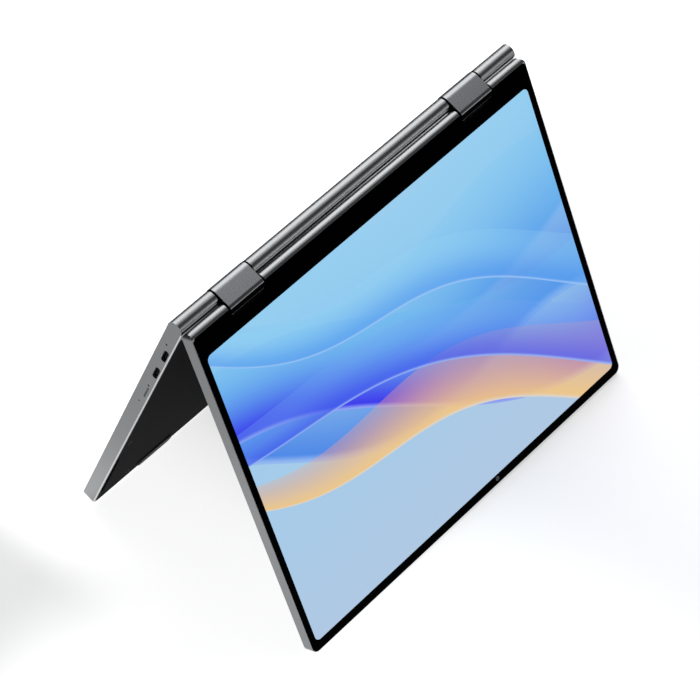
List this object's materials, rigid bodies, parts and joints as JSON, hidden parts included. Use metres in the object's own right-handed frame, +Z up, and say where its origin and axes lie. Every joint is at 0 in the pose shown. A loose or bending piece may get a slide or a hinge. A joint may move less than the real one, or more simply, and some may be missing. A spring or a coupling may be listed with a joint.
{
  "type": "convertible laptop computer",
  "caption": "Slim convertible laptop standing as a tent: metal base with keyboard and touchpad, glass-fronted lid, and two dual-axis friction hinges.",
  "frame": {"origin": "centre of the bounding box on the floor that the tent stands on", "axes": "+X along the hinge line towards the user's left side, +Y towards the base, -Y towards the picture side of the lid, +Z up"},
  "size_m": [0.2952, 0.1888, 0.2223],
  "materials": {
    "anodised_metal": "satin anodised",
    "cover_metal": "matte anodised",
    "steel": "satin",
    "rubber": "matte",
    "key_plastic": "matte",
    "black_plastic": "matte",
    "white_plastic": "gloss",
    "pad_glass": "satin",
    "circuit_board": "satin",
    "battery_wrap": "matte",
    "copper": "satin",
    "black_glass": "gloss",
    "lit_panel": "gloss"
  },
  "bodies": {
    "base": {"top_case": "anodised_metal", "bottom_cover": "cover_metal", "bottom_screws": "steel", "rubber_feet": "rubber", "keyboard_tray": "cover_metal", "keyboard_web": "key_plastic", "main_board": "circuit_board", "side_board": "circuit_board", "solid_state_drive": "circuit_board", "wireless_card": "circuit_board", "battery_pack": "battery_wrap", "fan_housing": "steel", "heat_pipe": "copper", "heat_sink": "copper", "left_speaker": "black_plastic", "right_speaker": "black_plastic", "right_usb_c_rear": "steel", "right_usb_c_front": "steel", "card_reader": "steel", "charge_light": "white_plastic", "usb_a_port": "steel", "audio_jack": "black_plastic", "left_base_bracket": "steel", "right_base_bracket": "steel", "left_base_shaft": "steel", "right_base_shaft": "steel", "hinge_screws": "steel", "base_hinge_washers": "steel"},
    "left_hinge": {"left_hinge_block": "black_plastic", "left_hinge_cover": "anodised_metal"},
    "right_hinge": {"right_hinge_block": "black_plastic", "right_hinge_cover": "anodised_metal"},
    "lid": {"lid_shell": "anodised_metal", "display_glass": "black_glass", "lcd_panel": "lit_panel", "light_guide": "white_plastic", "panel_board": "circuit_board", "webcam_module": "black_plastic", "antennas": "copper", "left_lid_bracket": "steel", "right_lid_bracket": "steel", "left_lid_shaft": "steel", "right_lid_shaft": "steel", "lid_hinge_washers": "steel"},
    "function_keys": {"function_keys": "key_plastic"},
    "number_keys": {"number_keys": "key_plastic"},
    "upper_letter_keys": {"upper_letter_keys": "key_plastic"},
    "home_letter_keys": {"home_letter_keys": "key_plastic"},
    "lower_letter_keys": {"lower_letter_keys": "key_plastic"},
    "modifier_keys": {"modifier_keys": "key_plastic"},
    "space_bar": {"space_bar": "key_plastic"},
    "arrow_keys": {"arrow_keys": "key_plastic"},
    "power_key": {"power_key": "key_plastic"},
    "touchpad": {"touchpad": "pad_glass"},
    "fan_impeller": {"fan_impeller": "black_plastic"}
  },
  "joints": [
    {"name": "lid_hinge", "type": "hinge", "parent": "left_hinge", "child": "lid", "pos_m": [0.1016, -0.00574, 0.21377], "axis": [1, 0, 0], "range_deg": [-140.6, 39.4]},
    {"name": "left_hinge_turn", "type": "hinge", "parent": "base", "child": "left_hinge", "pos_m": [0.1016, 0.00379, 0.21681], "axis": [1, 0, 0], "range_deg": [-176, 4]},
    {"name": "right_hinge_turn", "type": "hinge", "parent": "base", "child": "right_hinge", "pos_m": [-0.1016, 0.00379, 0.21681], "axis": [1, 0, 0], "range_deg": [-176, 4]},
    {"name": "function_keys_press", "type": "slide", "parent": "base", "child": "function_keys", "axis": [0, 0.929, 0.37], "range_m": [-0.0012, 0], "stiffness_N_per_m": 600},
    {"name": "number_keys_press", "type": "slide", "parent": "base", "child": "number_keys", "axis": [0, 0.929, 0.37], "range_m": [-0.0012, 0], "stiffness_N_per_m": 600},
    {"name": "upper_letter_keys_press", "type": "slide", "parent": "base", "child": "upper_letter_keys", "axis": [0, 0.929, 0.37], "range_m": [-0.0012, 0], "stiffness_N_per_m": 600},
    {"name": "home_letter_keys_press", "type": "slide", "parent": "base", "child": "home_letter_keys", "axis": [0, 0.929, 0.37], "range_m": [-0.0012, 0], "stiffness_N_per_m": 600},
    {"name": "lower_letter_keys_press", "type": "slide", "parent": "base", "child": "lower_letter_keys", "axis": [0, 0.929, 0.37], "range_m": [-0.0012, 0], "stiffness_N_per_m": 600},
    {"name": "modifier_keys_press", "type": "slide", "parent": "base", "child": "modifier_keys", "axis": [0, 0.929, 0.37], "range_m": [-0.0012, 0], "stiffness_N_per_m": 600},
    {"name": "space_bar_press", "type": "slide", "parent": "base", "child": "space_bar", "axis": [0, 0.929, 0.37], "range_m": [-0.0012, 0], "stiffness_N_per_m": 600},
    {"name": "arrow_keys_press", "type": "slide", "parent": "base", "child": "arrow_keys", "axis": [0, 0.929, 0.37], "range_m": [-0.0012, 0], "stiffness_N_per_m": 600},
    {"name": "power_key_press", "type": "slide", "parent": "base", "child": "power_key", "axis": [0, 0.929, 0.37], "range_m": [-0.0012, 0], "stiffness_N_per_m": 600},
    {"name": "touchpad_click", "type": "hinge", "parent": "base", "child": "touchpad", "pos_m": [0, 0.05967, 0.08461], "axis": [1, 0, 0], "range_deg": [-0.4, 0], "stiffness_Nm_per_rad": 15},
    {"name": "fan_spin", "type": "hinge", "parent": "base", "child": "fan_impeller", "pos_m": [0.022, 0.02043, 0.16962], "axis": [0, 0.929, 0.37], "continuous": true}
  ],
  "couplings": [
    {"joint": "right_hinge_turn", "follows": "left_hinge_turn", "ratio": 1}
  ]
}
